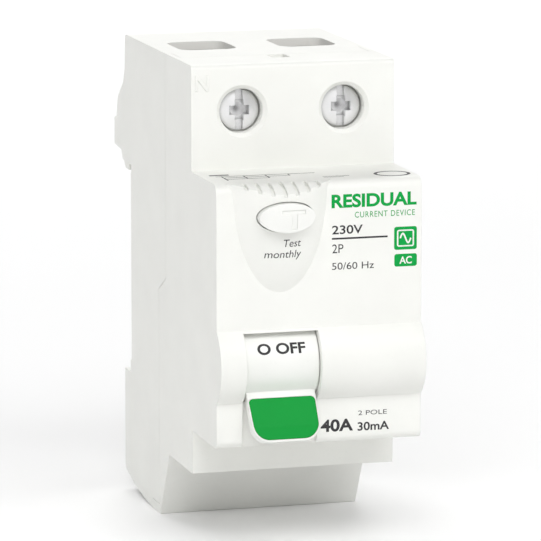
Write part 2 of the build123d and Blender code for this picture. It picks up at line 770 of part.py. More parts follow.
def relay_yoke():
    low, high, front, back, sheet = -17.0, -2.0, -52.0, -40.7, 1.5
    yoke = block((4.0, 14.0), (front, back), (low, high))
    yoke -= block((3.0, 15.0), (front - 1, back - sheet), (low + sheet, high - sheet))
    return yoke - rod_z(RELAY_X, RELAY_Y, PLUNGER_R + 0.15, (high - 3, high + 1))


def relay_bobbin():
    bobbin = rod_z(RELAY_X, RELAY_Y, 2.2, (-15.45, -3.55))
    for z in (-15.45, -4.35):
        bobbin += rod_z(RELAY_X, RELAY_Y, 4.5, (z, z + 0.8))
    return bobbin - rod_z(RELAY_X, RELAY_Y, PLUNGER_R + 0.15, (-14.6, 0.0))


def relay_coil():
    winding = rod_z(RELAY_X, RELAY_Y, 4.1, (-14.6, -4.4))
    return winding - rod_z(RELAY_X, RELAY_Y, 2.25, (-16.0, -3.0))


def relay_plunger():
    rod = rod_z(RELAY_X, RELAY_Y, PLUNGER_R, (-13.0, 1.0))
    return rod + rod_z(RELAY_X, RELAY_Y, 2.4, (0.0, 1.0))


def relay_spring():
    return Pos(RELAY_X, RELAY_Y, -1.95) * coil(1.95, 0.22, 2, 1.9)


# ---- Test circuit -----------------------------------------------------------------------
def test_button():
    """Oval button with a domed face, a raised T, a flange and a stem."""
    dome_r = 12.5
    cap = oval(BUTTON_LONG, BUTTON_SHORT, (BUTTON_FACE_Y, -57.3))
    dome = Pos(BUTTON_X, BUTTON_FACE_Y + dome_r, BUTTON_Z) * Sphere(dome_r)
    cap &= dome
    flange = oval(BUTTON_LONG + 1.2, BUTTON_SHORT + 1.1, (-57.4, -56.4))
    stem = rod_y(BUTTON_X, BUTTON_Z, PLUNGER_R, (-56.6, BUTTON_STEM_Y))
    bar = block((-7.8, -3.7), (-64.0, -60.0), (17.85, 18.45))
    upright = block((-6.15, -5.2), (-64.0, -60.0), (15.3, 17.95))
    shell = Pos(BUTTON_X, BUTTON_FACE_Y + dome_r, BUTTON_Z) * Sphere(dome_r - 0.12)
    letter = (bar + upright) - shell
    return cap + flange + stem - letter


def test_button_spring():
    spring = coil(2.1, 0.25, 5, 4.3)
    return Pos(BUTTON_X, -56.35, BUTTON_Z) * Rot(-90, 0, 0) * spring


def test_blade():
    """Springy leaf on a round foot, pushed back by the button's stem."""
    leaf = block((-8.0, -5.2), (BLADE_Y - 0.2, BLADE_Y + 0.2), (BLADE_Z, 18.6))
    return leaf + rod_x(BLADE_Y, BLADE_Z, BLADE_FOOT_R, (-8.0, -5.2))


def test_contact():
    run = ribbon([(-47.7, 8.65), (-47.7, 19.4), (-45.0, 19.4)], 0.5)
    return slab(run, (-8.0, -5.2))


def test_block():
    """Insulating block that holds the blade and the contact."""
    return block((-10.0, -3.0), (-56.4, -45.8), (3.6, 8.6))


def test_resistor():
    y, z = -42.6, 14.0
    return rod_x(y, z, 1.6, (-12.5, -4.0)) + rod_x(y, z, 0.35, (-14.5, -2.0))


def circuit_board():
    return block((3.0, 15.6), (-54.2, -53.2), (3.0, 20.4))


def board_parts():
    """Capacitor and two diodes on the back of the board."""
    capacitor = block((4.0, 9.0), (-53.15, -49.4), (13.0, 19.6))
    pieces = [capacitor]
    for x in (11.0, 13.8):
        pieces.append(rod_z(x, -51.6, 1.1, (12.5, 18.0)))
    return Compound(children=[Part(piece.wrapped) for piece in pieces])


# ---- Current transformer, conductors and plug-in jaws -----------------------------------
def ring(outer, inner, half):
    body = rod_y(0, TOROID_Z, outer, (TOROID_Y - half, TOROID_Y + half))
    return body - rod_y(0, TOROID_Z, inner, (TOROID_Y - half - 1, TOROID_Y + half + 1))


def toroid_core():
    return ring(TOROID_R, TOROID_BORE, TOROID_HALF)


def secondary_winding():
    """Band of fine wire wound over the upper part of the core."""
    sleeve = ring(TOROID_R + 0.7, TOROID_BORE - 0.6, TOROID_HALF + 0.6)
    sleeve -= ring(TOROID_R + 0.02, TOROID_BORE - 0.02, TOROID_HALF + 0.02)
    wedge = polygon((0, 0), (14, 9), (14, 20), (-14, 20), (-14, 9))
    plane = Plane((0, TOROID_Y + 6, TOROID_Z), x_dir=(1, 0, 0), z_dir=(0, -1, 0))
    return sleeve & extrude(plane * wedge, 12)


def toroid_cradle():
    cradle = block((-10.5, 10.5), (TOROID_Y - 3.4, TOROID_Y + 3.4), (-39.0, -31.5))
    cradle -= rod_y(0, TOROID_Z, TOROID_R + 0.1, (TOROID_Y - 5, TOROID_Y + 5))
    return cradle


def conductor(side):
    """Main conductor from the braid, once through the core, to the plug-in jaw."""
    x, inner = side * 9.0, side * 1.7
    return tube(
        [
            (x, -20.2, -10.0),
            (x, -20.2, -15.6),
            (inner, -5.4, -16.6),
            (inner, -5.4, TOROID_Z),
            (inner, -19.4, TOROID_Z),
            (x, -27.2, -24.0),
            (x, -28.8, -19.2),
            (x, -35.5, -19.2),
        ],
        WIRE_R,
        1.6,
    )


def comb_jaw(side):
    """Two sprung leaves that grip a busbar tooth from below."""
    run = ribbon(
        [
            (JAW_Y - 2.9, -28.2),
            (JAW_Y - 1.4, -25.6),
            (JAW_Y - 2.6, -21.0),
            (JAW_Y + 2.6, -21.0),
            (JAW_Y + 1.4, -25.6),
            (JAW_Y + 2.9, -28.2),
        ],
        0.9,
    )
    return slab(run, (side * 9.0 - 3.4, side * 9.0 + 3.4))


# ---- Assembly ---------------------------------------------------------------------------
def build():
    shell = casing_shell()
    nodes = {
        "front_cover": front_cover(shell),
        "rear_case": rear_case(shell),
        "pole_divider": pole_divider(),
        "din_clip": din_clip(),
        "toggle_lever": toggle_lever(),
        "lever_insert": lever_insert(),
        "lever_axle": lever_axle(),
        "lever_spring": lever_spring(),
        "mechanism_link": mechanism_link(),
        "mechanism_plate_left": mechanism_plate_left(),
        "mechanism_plate_right": mechanism_plate_right(),
        "contact_carrier": contact_carrier(),
        "carrier_axle": carrier_axle(),
        "opening_spring": opening_spring(),
        "trip_lever": trip_lever(),
        "trip_axle": trip_axle(),
        "relay_yoke": relay_yoke(),
        "relay_bobbin": relay_bobbin(),
        "relay_coil": relay_coil(),
        "relay_plunger": relay_plunger(),
        "relay_spring": relay_spring(),
        "test_button": test_button(),
        "test_button_spring": test_button_spring(),
        "test_blade": test_blade(),
        "test_contact": test_contact(),
        "test_block": test_block(),
        "test_resistor": test_resistor(),
        "circuit_board": circuit_board(),
        "board_parts": board_parts(),
        "toroid_core": toroid_core(),
        "secondary_winding": secondary_winding(),
        "toroid_cradle": toroid_cradle(),
    }
    for pole, side in (("n", -1), ("l", 1)):
        nodes["terminal_screw_" + pole] = terminal_screw(side * POLE_X)
        nodes["terminal_cage_" + pole] = terminal_cage(side * POLE_X)
        nodes["fixed_contact_" + pole] = fixed_contact(side * POLE_X)
        nodes["fixed_tip_" + pole] = fixed_tip(side * POLE_X)
        nodes["moving_contact_" + pole] = moving_contact(side * 9.0)
        nodes["moving_tip_" + pole] = moving_tip(side * 9.0)
        nodes["contact_spring_" + pole] = contact_spring(side * 9.0)
        nodes["braid_" + pole] = braid(side * 9.0)
        nodes["arc_plates_" + pole] = arc_plates(side * 9.0)
        nodes["arc_cheeks_" + pole] = arc_cheeks(side * 9.0)
        nodes["conductor_" + pole] = conductor(side)
        nodes["comb_jaw_" + pole] = comb_jaw(side)
    return nodes


os.makedirs("parts", exist_ok=True)
for name, shape in build().items():
    export_step(shape, "parts/" + name + ".step")
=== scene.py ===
import json
import math

import bmesh
import bpy
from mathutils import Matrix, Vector
from mathutils.bvhtree import BVHTree

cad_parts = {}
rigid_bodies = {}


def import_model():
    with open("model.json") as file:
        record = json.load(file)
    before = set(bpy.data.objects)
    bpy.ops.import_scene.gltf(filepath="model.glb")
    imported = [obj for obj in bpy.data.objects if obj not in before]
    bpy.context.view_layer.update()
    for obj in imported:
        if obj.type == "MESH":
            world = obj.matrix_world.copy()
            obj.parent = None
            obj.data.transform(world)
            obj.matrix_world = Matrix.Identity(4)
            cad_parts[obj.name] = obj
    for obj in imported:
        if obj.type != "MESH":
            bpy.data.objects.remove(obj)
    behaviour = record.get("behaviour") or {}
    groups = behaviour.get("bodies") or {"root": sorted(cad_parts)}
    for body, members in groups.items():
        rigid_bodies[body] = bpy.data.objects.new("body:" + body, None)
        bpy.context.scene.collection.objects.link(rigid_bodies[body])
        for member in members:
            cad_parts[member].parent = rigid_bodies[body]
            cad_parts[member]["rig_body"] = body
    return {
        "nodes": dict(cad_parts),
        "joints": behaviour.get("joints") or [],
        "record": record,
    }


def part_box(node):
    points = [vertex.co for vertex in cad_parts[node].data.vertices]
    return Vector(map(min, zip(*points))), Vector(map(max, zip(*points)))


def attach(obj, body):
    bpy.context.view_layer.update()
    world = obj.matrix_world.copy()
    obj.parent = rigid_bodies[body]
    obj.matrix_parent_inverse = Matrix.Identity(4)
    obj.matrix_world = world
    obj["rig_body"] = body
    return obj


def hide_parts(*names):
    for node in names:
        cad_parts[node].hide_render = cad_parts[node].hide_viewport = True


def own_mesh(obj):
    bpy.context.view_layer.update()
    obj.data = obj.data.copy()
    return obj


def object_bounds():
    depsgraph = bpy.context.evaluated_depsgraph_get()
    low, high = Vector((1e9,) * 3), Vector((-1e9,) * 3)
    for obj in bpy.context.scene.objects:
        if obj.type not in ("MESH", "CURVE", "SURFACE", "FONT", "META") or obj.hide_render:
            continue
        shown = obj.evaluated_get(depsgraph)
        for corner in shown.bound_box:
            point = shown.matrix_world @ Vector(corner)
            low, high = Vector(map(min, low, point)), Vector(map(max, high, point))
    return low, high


# Looks of a two-pole residual current device. Metres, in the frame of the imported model:
# +X to the right, -Y the front, +Z up, origin at the seat on the rail.

MM = 0.001
RIGHT = Vector((1, 0, 0))
BACK = Vector((0, 1, 0))
UP = Vector((0, 0, 1))
ORIGIN = Vector((0, 0, 0))

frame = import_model()
cad_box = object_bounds()
nodes = frame["nodes"]


# ---- Shader helpers -------------------------------------------------------------------
class Shader:
    """One material's node tree, with short ways to make the nodes used here."""

    def __init__(self, name):
        self.material = bpy.data.materials.new(name)
        self.material.use_nodes = True
        self.tree = self.material.node_tree
        self.bsdf = self.tree.nodes["Principled BSDF"]
        self.place = self.tree.nodes.new("ShaderNodeTexCoord").outputs["Object"]

    def node(self, kind, settings=None, **sockets):
        made = self.tree.nodes.new("ShaderNode" + kind)
        for key, value in (settings or {}).items():
            setattr(made, key, value)
        for key, value in sockets.items():
            self.put(made.inputs[key.replace("_", " ")], value)
        return made

    def put(self, socket, value):
        if isinstance(value, bpy.types.NodeSocket):
            self.tree.links.new(value, socket)
        else:
            socket.default_value = value

    def set(self, **sockets):
        for key, value in sockets.items():
            self.put(self.bsdf.inputs[key.replace("_", " ")], value)

    def stretched(self, scale):
        return self.node("Mapping", Vector=self.place, Scale=scale).outputs["Vector"]

    def noise(self, size, detail=3.0, stretch=(1, 1, 1), rough=0.5):
        """Noise whose features are about this size in metres, drawn out along an axis."""
        made = self.node(
            "TexNoise",
            Vector=self.stretched(stretch),
            Scale=1 / size,
            Detail=detail,
            Roughness=rough,
        )
        return made.outputs["Fac"]

    def cells(self, size):
        made = self.node("TexVoronoi", Vector=self.place, Scale=1 / size)
        return made.outputs["Distance"]

    def spread(self, value, low, high, start=0.3, end=0.7):
        """Value from start to end becomes low to high."""
        made = self.node("MapRange", Value=value)
        ends = {"From Min": start, "From Max": end, "To Min": low, "To Max": high}
        for key, number in ends.items():
            made.inputs[key].default_value = number
        return made.outputs["Result"]

    def mix(self, factor, first, second):
        made = self.node("Mix", {"data_type": "RGBA"})
        self.put(made.inputs["Factor"], factor)
        colour_inputs = [s for s in made.inputs if s.type == "RGBA"]
        self.put(colour_inputs[0], first)
        self.put(colour_inputs[1], second)
        return next(s for s in made.outputs if s.type == "RGBA")

    def rounded(self, radius):
        """Normal that rounds edges by this radius."""
        return self.node("Bevel", {"samples": 4}, Radius=radius).outputs["Normal"]

    def edge(self, normal):
        """1 along an edge, 0 on the flat."""
        true_normal = self.node("NewGeometry").outputs["Normal"]
        dot = self.node("VectorMath", {"operation": "DOT_PRODUCT"})
        self.put(dot.inputs[0], normal)
        self.put(dot.inputs[1], true_normal)
        return self.spread(dot.outputs["Value"], 1.0, 0.0, 0.90, 0.995)

    def bump(self, height, strength, depth, normal=None):
        made = self.node("Bump", Height=height, Strength=strength, Distance=depth)
        if normal is not None:
            self.put(made.inputs["Normal"], normal)
        return made.outputs["Normal"]


def rgb(red, green, blue):
    return (red, green, blue, 1.0)


def shade(colour, factor):
    return rgb(*(c * factor for c in colour[:3]))


# ---- Materials ------------------------------------------------------------------------
def plastic(
    name, colour, rough=0.45, grain=0.25 * MM, depth=0.004 * MM, edge=0.15 * MM, gloss=0.4
):
    """Moulded plastic: fine spark-eroded grain, faint flow clouds, rounded edges lighter by
    wear and a painted highlight.
    """
    s = Shader(name)
    clouds = s.noise(9 * MM, 4)
    speck = s.noise(0.5 * MM, 2)
    toned = s.mix(s.spread(clouds, 0, 1), shade(colour, 0.965), colour)
    toned = s.mix(s.spread(speck, 0, 0.35, 0.62, 0.75), toned, shade(colour, 0.93))
    corner = s.rounded(edge)
    edge_wear_and_highlight = s.edge(corner)
    # Edges lighter in colour: partly wear, partly a painted highlight where the rounded edge
    # would catch the light.
    toned = s.mix(s.spread(edge_wear_and_highlight, 0, 0.4, 0, 1), toned, shade(colour, 1.03))
    s.set(Base_Color=toned, IOR=1.5, Specular_IOR_Level=gloss)
    matt = s.spread(s.noise(1.2 * MM, 3), rough - 0.05, rough + 0.06)
    s.set(Roughness=matt)
    height = s.noise(grain, 2, rough=0.6)
    s.set(Normal=s.bump(height, 0.5, depth, corner))
    return s.material


def plated(name, colour, rough=0.3, brush=(1, 1, 1), grain=0.4 * MM, edge=0.08 * MM):
    """Plated or drawn metal: fine draw lines, cloudy plating, edges brighter by wear and a
    painted highlight.
    """
    s = Shader(name)
    lines = s.noise(grain, 4, brush)
    clouds = s.noise(3 * MM, 3)
    toned = s.mix(s.spread(clouds, 0, 1), shade(colour, 0.86), colour)
    corner = s.rounded(edge)
    # Edges brighter in colour: partly wear, partly a painted highlight where the edge would
    # catch the light.
    toned = s.mix(s.spread(s.edge(corner), 0, 0.6, 0, 1), toned, shade(colour, 1.15))
    s.set(Base_Color=toned, Metallic=1.0)
    s.set(Roughness=s.spread(lines, rough - 0.08, rough + 0.12))
    s.set(Normal=s.bump(lines, 0.35, 0.003 * MM, corner))
    return s.material


def domed_steel(name, colour):
    """Bright zinc on a screw head: fine turning marks, and painted shade that darkens it down
    in the recess.
    """
    s = Shader(name)
    marks = s.noise(0.5 * MM, 2, (1, 0.3, 1))
    # Painted shade: ambient occlusion darkens the colour to half down in the slot and the
    # recess.
    depth = s.node("AmbientOcclusion", {"samples": 8}, Distance=1.2 * MM).outputs["AO"]
    toned = s.mix(s.spread(depth, 0, 1, 0.35, 0.8), shade(colour, 0.5), colour)
    toned = s.mix(s.spread(marks, 0, 0.15), toned, shade(colour, 0.85))
    s.set(Base_Color=toned, Metallic=0.85, Roughness=s.spread(marks, 0.36, 0.42))
    s.set(Normal=s.bump(marks, 0.08, 0.003 * MM, s.rounded(0.05 * MM)))
    return s.material


# Scale of the wave textures, in turns of the wave's phase for each metre.
STRAND_BANDS = 1200.0
WIRE_BANDS = 900.0
TAPE_BANDS = 700.0


def braided(name, colour):
    """Flexible braid: two sets of crossing strands."""
    s = Shader(name)
    height = None
    for slope in (1, -1):
        wave = s.node(
            "TexWave",
            {"wave_type": "BANDS", "bands_direction": "DIAGONAL"},
            Vector=s.stretched((1, 1, slope)),
            Scale=STRAND_BANDS,
            Distortion=0.6,
        )
        wave = wave.outputs["Fac"]
        if height is None:
            height = wave
        else:
            top = s.node("Math", {"operation": "MAXIMUM"})
            s.put(top.inputs[0], height)
            s.put(top.inputs[1], wave)
            height = top.outputs["Value"]
    # Painted shade: the colour falls to under half in the low parts between the strands.
    s.set(Base_Color=s.mix(height, shade(colour, 0.45), colour), Metallic=1.0)
    s.set(Roughness=s.spread(s.noise(1 * MM), 0.3, 0.5))
    s.set(Normal=s.bump(height, 0.8, 0.08 * MM))
    return s.material


def wound(name, colour, along):
    """Enamelled wire in close turns, which follow one another along an axis."""
    s = Shader(name)
    wave = s.node(
        "TexWave",
        {"wave_type": "BANDS", "bands_direction": along},
        Vector=s.place,
        Scale=WIRE_BANDS,
        Distortion=0.25,
    ).outputs["Fac"]
    # Painted shade: the colour falls to about a third in the grooves between the turns.
    s.set(Base_Color=s.mix(wave, shade(colour, 0.35), colour), Metallic=0.6)
    s.set(Roughness=s.spread(s.noise(0.8 * MM), 0.18, 0.34), Coat_Weight=0.5)
    s.set(Normal=s.bump(wave, 0.9, 0.06 * MM))
    return s.material


def printed_ink(name, colour):
    """Pad-printed ink: slightly uneven cover over the grain of the plastic."""
    s = Shader(name)
    patchy = s.spread(s.noise(0.35 * MM, 3), 0, 1, 0.25, 0.75)
    s.set(Base_Color=s.mix(patchy, shade(colour, 0.88), shade(colour, 1.06)))
    s.set(Roughness=s.spread(s.noise(0.6 * MM), 0.4, 0.55), Specular_IOR_Level=0.12)
    s.set(Normal=s.bump(s.noise(0.12 * MM, 2), 0.4, 0.002 * MM))
    return s.material


def circuit_mask(name):
    """Solder mask with copper tracks showing through and weave underneath."""
    s = Shader(name)
    tracks = s.spread(s.cells(2.2 * MM), 0, 1, 0.42, 0.46)
    weave = s.spread(s.noise(0.25 * MM, 2, (1, 1, 4)), 0, 1)
    base = s.mix(weave, rgb(0.010, 0.085, 0.035), rgb(0.014, 0.115, 0.048))
    s.set(Base_Color=s.mix(tracks, base, rgb(0.03, 0.20, 0.075)))
    s.set(Roughness=s.spread(weave, 0.25, 0.4), Coat_Weight=0.3)
    s.set(Normal=s.bump(tracks, 0.5, 0.03 * MM, s.rounded(0.05 * MM)))
    return s.material


def wound_tape(name):
    """Edge of a core wound from thin magnetic tape: rings about its axis."""
    s = Shader(name)
    low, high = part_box("toroid_core")
    centre = (low + high) / 2
    at_axis = s.node("VectorMath", {"operation": "SUBTRACT"})
    s.put(at_axis.inputs[0], s.place)
    s.put(at_axis.inputs[1], centre)
    rings = s.node(
        "TexWave",
        {"wave_type": "RINGS", "rings_direction": "Y"},
        Vector=at_axis.outputs["Vector"],
        Scale=TAPE_BANDS,
        Distortion=0.3,
    ).outputs["Fac"]
    s.set(Base_Color=s.mix(rings, rgb(0.06, 0.062, 0.068), rgb(0.22, 0.225, 0.24)))
    s.set(Metallic=0.9, Roughness=s.spread(s.noise(0.7 * MM), 0.35, 0.55))
    s.set(Normal=s.bump(rings, 0.6, 0.03 * MM, s.rounded(0.1 * MM)))
    return s.material


WHITE = rgb(0.875, 0.878, 0.842)
GREEN = rgb(0.005, 0.315, 0.045)
PRINT_GREEN = rgb(0.005, 0.36, 0.063)
DARK_GREY = rgb(0.052, 0.050, 0.053)

casing = plastic("casing_white", WHITE)
lever = plastic("lever_white", rgb(0.88, 0.885, 0.855), rough=0.38, edge=0.25 * MM)
green = plastic("lever_green", GREEN, rough=0.5, edge=0.3 * MM, gloss=0.12)
clip = plastic("clip_plastic", rgb(0.80, 0.80, 0.765), rough=0.5)
insulator = plastic("insulator_grey", rgb(0.34, 0.32, 0.28), rough=0.55)
black = plastic("mechanism_black", rgb(0.012, 0.012, 0.014), rough=0.5)
component = plastic("component_black", rgb(0.018, 0.018, 0.02), rough=0.4)
glaze = plastic("resistor_glaze", rgb(0.10, 0.20, 0.15), rough=0.6, grain=0.4 * MM)
plate = plated("plated_steel", rgb(0.58, 0.575, 0.55), 0.32, (1, 1, 0.15))
screw = domed_steel("screw_steel", rgb(0.90, 0.90, 0.905))
spring = plated("spring_steel", rgb(0.40, 0.41, 0.42), 0.28, (1, 1, 1), 0.2 * MM)
copper = plated("copper", rgb(0.62, 0.24, 0.12), 0.3, (1, 1, 0.2))
silver = plated("silver_contact", rgb(0.80, 0.79, 0.76), 0.25, (1, 1, 1), 0.3 * MM)
bronze = plated("tinned_bronze", rgb(0.60, 0.57, 0.51), 0.3, (1, 1, 0.2))
braid = braided("copper_braid", rgb(0.62, 0.24, 0.12))
relay_wire = wound("relay_wire", rgb(0.42, 0.10, 0.035), "Z")
toroid_wire = wound("toroid_wire", rgb(0.42, 0.10, 0.035), "X")
core = wound_tape("core_alloy")
mask = circuit_mask("board_green")

ink_dark = printed_ink("ink_dark", DARK_GREY)
ink_green = printed_ink("ink_green", PRINT_GREEN)
ink_white = printed_ink("ink_white", rgb(0.85, 0.86, 0.83))

BY_SLOT = {
    "casing_white": casing,
    "lever_white": lever,
    "lever_green": green,
    "clip_plastic": clip,
    "insulator_grey": insulator,
    "mechanism_black": black,
    "plated_steel": plate,
    "screw_steel": screw,
    "spring_steel": spring,
    "copper": copper,
    "silver_contact": silver,
    "tinned_bronze": bronze,
    "coil_wire": relay_wire,
    "core_alloy": core,
    "resistor_glaze": glaze,
    "board_green": mask,
    "component_black": component,
}
BY_NODE = {
    "braid_n": braid,
    "braid_l": braid,
    "secondary_winding": toroid_wire,
}


def joint(name):
    return next(j for j in frame["joints"] if j["name"] == name)


def millimetres(*values):
    return [v * MM for v in values]


def paint(piece, material):
    piece.data.materials.clear()
    piece.data.materials.append(material)


for row in frame["record"]["subparts"]:
    paint(nodes[row["node"]], BY_NODE.get(row["node"], BY_SLOT[row["material_slot"]]))


# ---- Prints: thin skins of ink pressed onto the surface that lies under them ------------
INK_PROUD = 0.012 * MM
INK_DEEP = 0.03 * MM
RUN_UP = 90 * MM  # a print comes from this far off
GRID = 0.3 * MM  # a print is cut this fine, so that it follows a curved surface
surfaces = {}


def surface_of(node):
    if node not in surfaces:
        graph = bpy.context.evaluated_depsgraph_get()
        surfaces[node] = BVHTree.FromObject(nodes[node], graph)
    return surfaces[node]


def text_mesh(text, weight=0.0, spacing=1.0):
    """Flat faces of a word. Weight thickens its strokes, spacing draws its letters apart."""
    curve = bpy.data.curves.new("word", "FONT")
    curve.body = text
    curve.offset = weight
    curve.space_character = spacing
    curve.resolution_u = 5
    word = bpy.data.objects.new("word", curve)
    bpy.context.scene.collection.objects.link(word)
    bpy.context.view_layer.update()
    graph = bpy.context.evaluated_depsgraph_get()
    mesh = bpy.data.meshes.new_from_object(word.evaluated_get(graph))
    flat = bmesh.new()
    flat.from_mesh(mesh)
    bpy.data.objects.remove(word)
    bpy.data.curves.remove(curve)
    bpy.data.meshes.remove(mesh)
    bmesh.ops.remove_doubles(flat, verts=flat.verts, dist=1e-5)
    return flat


def outline_mesh(*loops):
    """Flat faces inside closed outlines. Later loops are holes in the first."""
    flat = bmesh.new()
    edges = []
    for loop in loops:
        verts = [flat.verts.new((x, y, 0)) for x, y in loop]
        edges += [flat.edges.new((verts[i - 1], verts[i])) for i in range(len(verts))]
    bmesh.ops.triangle_fill(flat, use_beauty=True, edges=edges)
    return flat


def stroke_mesh(points, width, closed=False):
    """Flat band of this width along a line of points."""
    flat = bmesh.new()
    ends = [Vector(p) for p in points]
    count = len(ends)
    left, right = [], []
    for i, point in enumerate(ends):
        before = ends[i - 1] if i or closed else point
        after = ends[(i + 1) % count] if i < count - 1 or closed else point
        into, out = point - before, after - point
        into = into.normalized() if into.length else out.normalized()
        out = out.normalized() if out.length else into
        normal = Vector((-(into + out).y, (into + out).x)).normalized()
        reach = width / 2 / max(0.5, normal.dot(Vector((-into.y, into.x))))
        left.append(flat.verts.new((*(point + normal * reach), 0)))
        right.append(flat.verts.new((*(point - normal * reach), 0)))
    for i in range(count if closed else count - 1):
        j = (i + 1) % count
        flat.faces.new((right[i], right[j], left[j], left[i]))
    return flat


def rounded_box(width, height, radius, steps=6):
    """Corners of a rounded rectangle about the origin, anticlockwise."""
    points = []
    for turn, (sx, sy) in enumerate(((1, -1), (1, 1), (-1, 1), (-1, -1))):
        centre = (sx * (width / 2 - radius), sy * (height / 2 - radius))
        for step in range(steps + 1):
            angle = math.radians(-90 + 90 * turn + 90 * step / steps)
            points.append(
                (centre[0] + radius * math.cos(angle), centre[1] + radius * math.sin(angle))
            )
    return points


def fitted(flat, low, high, slant=0.0):
    """Scales flat faces to fill the box from low to high, then leans them over."""
    xs = [v.co.x for v in flat.verts]
    ys = [v.co.y for v in flat.verts]
    left, bottom = min(xs), min(ys)
    across = (high[0] - low[0]) / (max(xs) - left)
    upward = (high[1] - low[1]) / (max(ys) - bottom)
    for v in flat.verts:
        rise = (v.co.y - bottom) * upward
        v.co.x = low[0] + (v.co.x - left) * across + slant * rise
        v.co.y = low[1] + rise
    return flat


def cut_fine(flat):
    """Cuts faces along a grid."""
    for axis in (0, 1):
        values = [v.co[axis] for v in flat.verts]
        normal = Vector((1, 0, 0)) if axis == 0 else Vector((0, 1, 0))
        for step in range(math.ceil(min(values) / GRID), math.ceil(max(values) / GRID)):
            bmesh.ops.bisect_plane(
                flat,
                geom=flat.verts[:] + flat.edges[:] + flat.faces[:],
                plane_co=normal * step * GRID,
                plane_no=normal,
            )


def press(name, flat, node, ink, slot, across, up, into, origin, level=False):
    """Presses flat faces onto a CAD node and gives them the thickness of the ink."""
    if not level:
        cut_fine(flat)
    ground = surface_of(node)
    start = origin - into * RUN_UP
    tops, bottoms = {}, {}
    skin = bmesh.new()
    for v in flat.verts:
        point = start + across * v.co.x + up * v.co.y
        hit, normal, _, _ = ground.ray_cast(point, into)
        if hit is None:
            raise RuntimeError(f"print {name} misses {node}")
        tops[v] = skin.verts.new(hit - into * INK_PROUD)
        bottoms[v] = skin.verts.new(hit + into * INK_DEEP)
    for face in flat.faces:
        skin.faces.new([tops[v] for v in face.verts])
        skin.faces.new([bottoms[v] for v in reversed(face.verts)])
    for edge in flat.edges:
        if len(edge.link_faces) == 1:
            a, b = edge.verts
            skin.faces.new((tops[a], tops[b], bottoms[b], bottoms[a]))
    bmesh.ops.recalc_face_normals(skin, faces=skin.faces)
    mesh = bpy.data.meshes.new(name)
    skin.to_mesh(mesh)
    skin.free()
    flat.free()
    piece = bpy.data.objects.new(name, mesh)
    bpy.context.scene.collection.objects.link(piece)
    paint(piece, ink)
    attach(piece, nodes[node]["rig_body"])
    return piece


GREY_INK = (ink_dark, "component_black")
GREEN_INK = (ink_green, "lever_green")
WHITE_INK = (ink_white, "casing_white")


def on_front(name, flat, ink, level=True):
    return press(name, flat, "front_cover", *ink, RIGHT, UP, BACK, ORIGIN, level)


# Prints on the nose: name, word (none for a plain bar), left, right, bottom, top in mm,
# ink, weight of the strokes, spacing of the letters.
NOSE_MARKS = [
    ("print_title", "RESIDUAL", 2.1, 17.1, 17.75, 20.1, GREEN_INK, 0.035, 1.0),
    ("print_subtitle", "CURRENT DEVICE", 6.2, 16.8, 16.0, 17.0, GREEN_INK, 0.0, 1.15),
    ("print_voltage", "230V", 2.2, 7.6, 13.3, 14.8, GREY_INK, 0.015, 1.0),
    ("print_rule", None, 2.17, 12.0, 12.41, 12.71, GREY_INK, 0.0, 1.0),
    ("print_poles", "2P", 2.24, 4.2, 10.1, 11.6, GREY_INK, 0.0, 1.0),
    ("print_supply", "50/60 Hz", 2.2, 9.6, 7.25, 8.45, GREY_INK, 0.0, 1.0),
    ("print_rating", "40A", 0.27, 6.0, -20.6, -18.45, GREY_INK, 0.03, 1.0),
    ("print_type", "2 POLE", 6.9, 12.0, -18.0, -17.2, GREY_INK, 0.0, 1.0),
    ("print_trip_current", "30mA", 6.8, 12.4, -20.7, -19.2, GREY_INK, 0.02, 1.0),
]


def nose_prints():
    for name, word, left, right, low, high, ink, weight, spacing in NOSE_MARKS:
        flat = text_mesh(word, weight, spacing) if word else stroke_mesh([(0, 0), (1, 0)], 1)
        fitted(flat, millimetres(left, low), millimetres(right, high))
        on_front(name, flat, ink)


def badge(name, middle_x, middle_z, width, height, radius):
    flat = outline_mesh(rounded_box(width, height, radius))
    low = (middle_x - width / 2, middle_z - height / 2)
    high = (middle_x + width / 2, middle_z + height / 2)
    fitted(flat, millimetres(*low), millimetres(*high))
    return on_front(name, flat, GREEN_INK)


def move_up(piece, gap):
    """Lifts a print that lies on another one by the thickness of the ink."""
    for v in piece.data.vertices:
        v.co.y -= gap


def badges():
    """Square badge with the sine wave sign, and a small one with letters below it."""
    badge("print_badge_square", 15.16, 12.13, 4.02, 3.94, 0.4)
    badge("print_badge_low", 15.2, 8.36, 4.0, 2.16, 0.4)
    sign_frame = stroke_mesh(rounded_box(2.9, 2.9, 0.25, 3), 0.26, closed=True)
    fitted(sign_frame, millimetres(13.65, 10.68), millimetres(16.67, 13.58))
    turns = [math.radians(angle) for angle in range(0, 361, 20)]
    wave = stroke_mesh([(turn / math.pi - 1.0, 0.75 * math.sin(turn)) for turn in turns], 0.28)
    fitted(wave, millimetres(14.1, 11.2), millimetres(16.22, 13.06))
    letters = fitted(text_mesh("AC", 0.02), millimetres(14.1, 7.72), millimetres(16.3, 9.0))
    for name, flat in (
        ("print_sign_frame", sign_frame),
        ("print_sign_wave", wave),
        ("print_badge_letters", letters),
    ):
        move_up(on_front(name, flat, WHITE_INK), INK_PROUD)


def boss_prints():
    for name, text, left, right, low, high in (
        ("print_test", "Test", -7.2, -4.0, 12.0, 13.3),
        ("print_monthly", "monthly", -10.2, -3.9, 9.7, 11.4),
    ):
        flat = fitted(text_mesh(text), millimetres(left, low), millimetres(right, high), 0.12)
        on_front(name, flat, GREY_INK, level=False)


DRUM_RADIUS = 6 * MM
DRUM_WEIGHT = 0.03


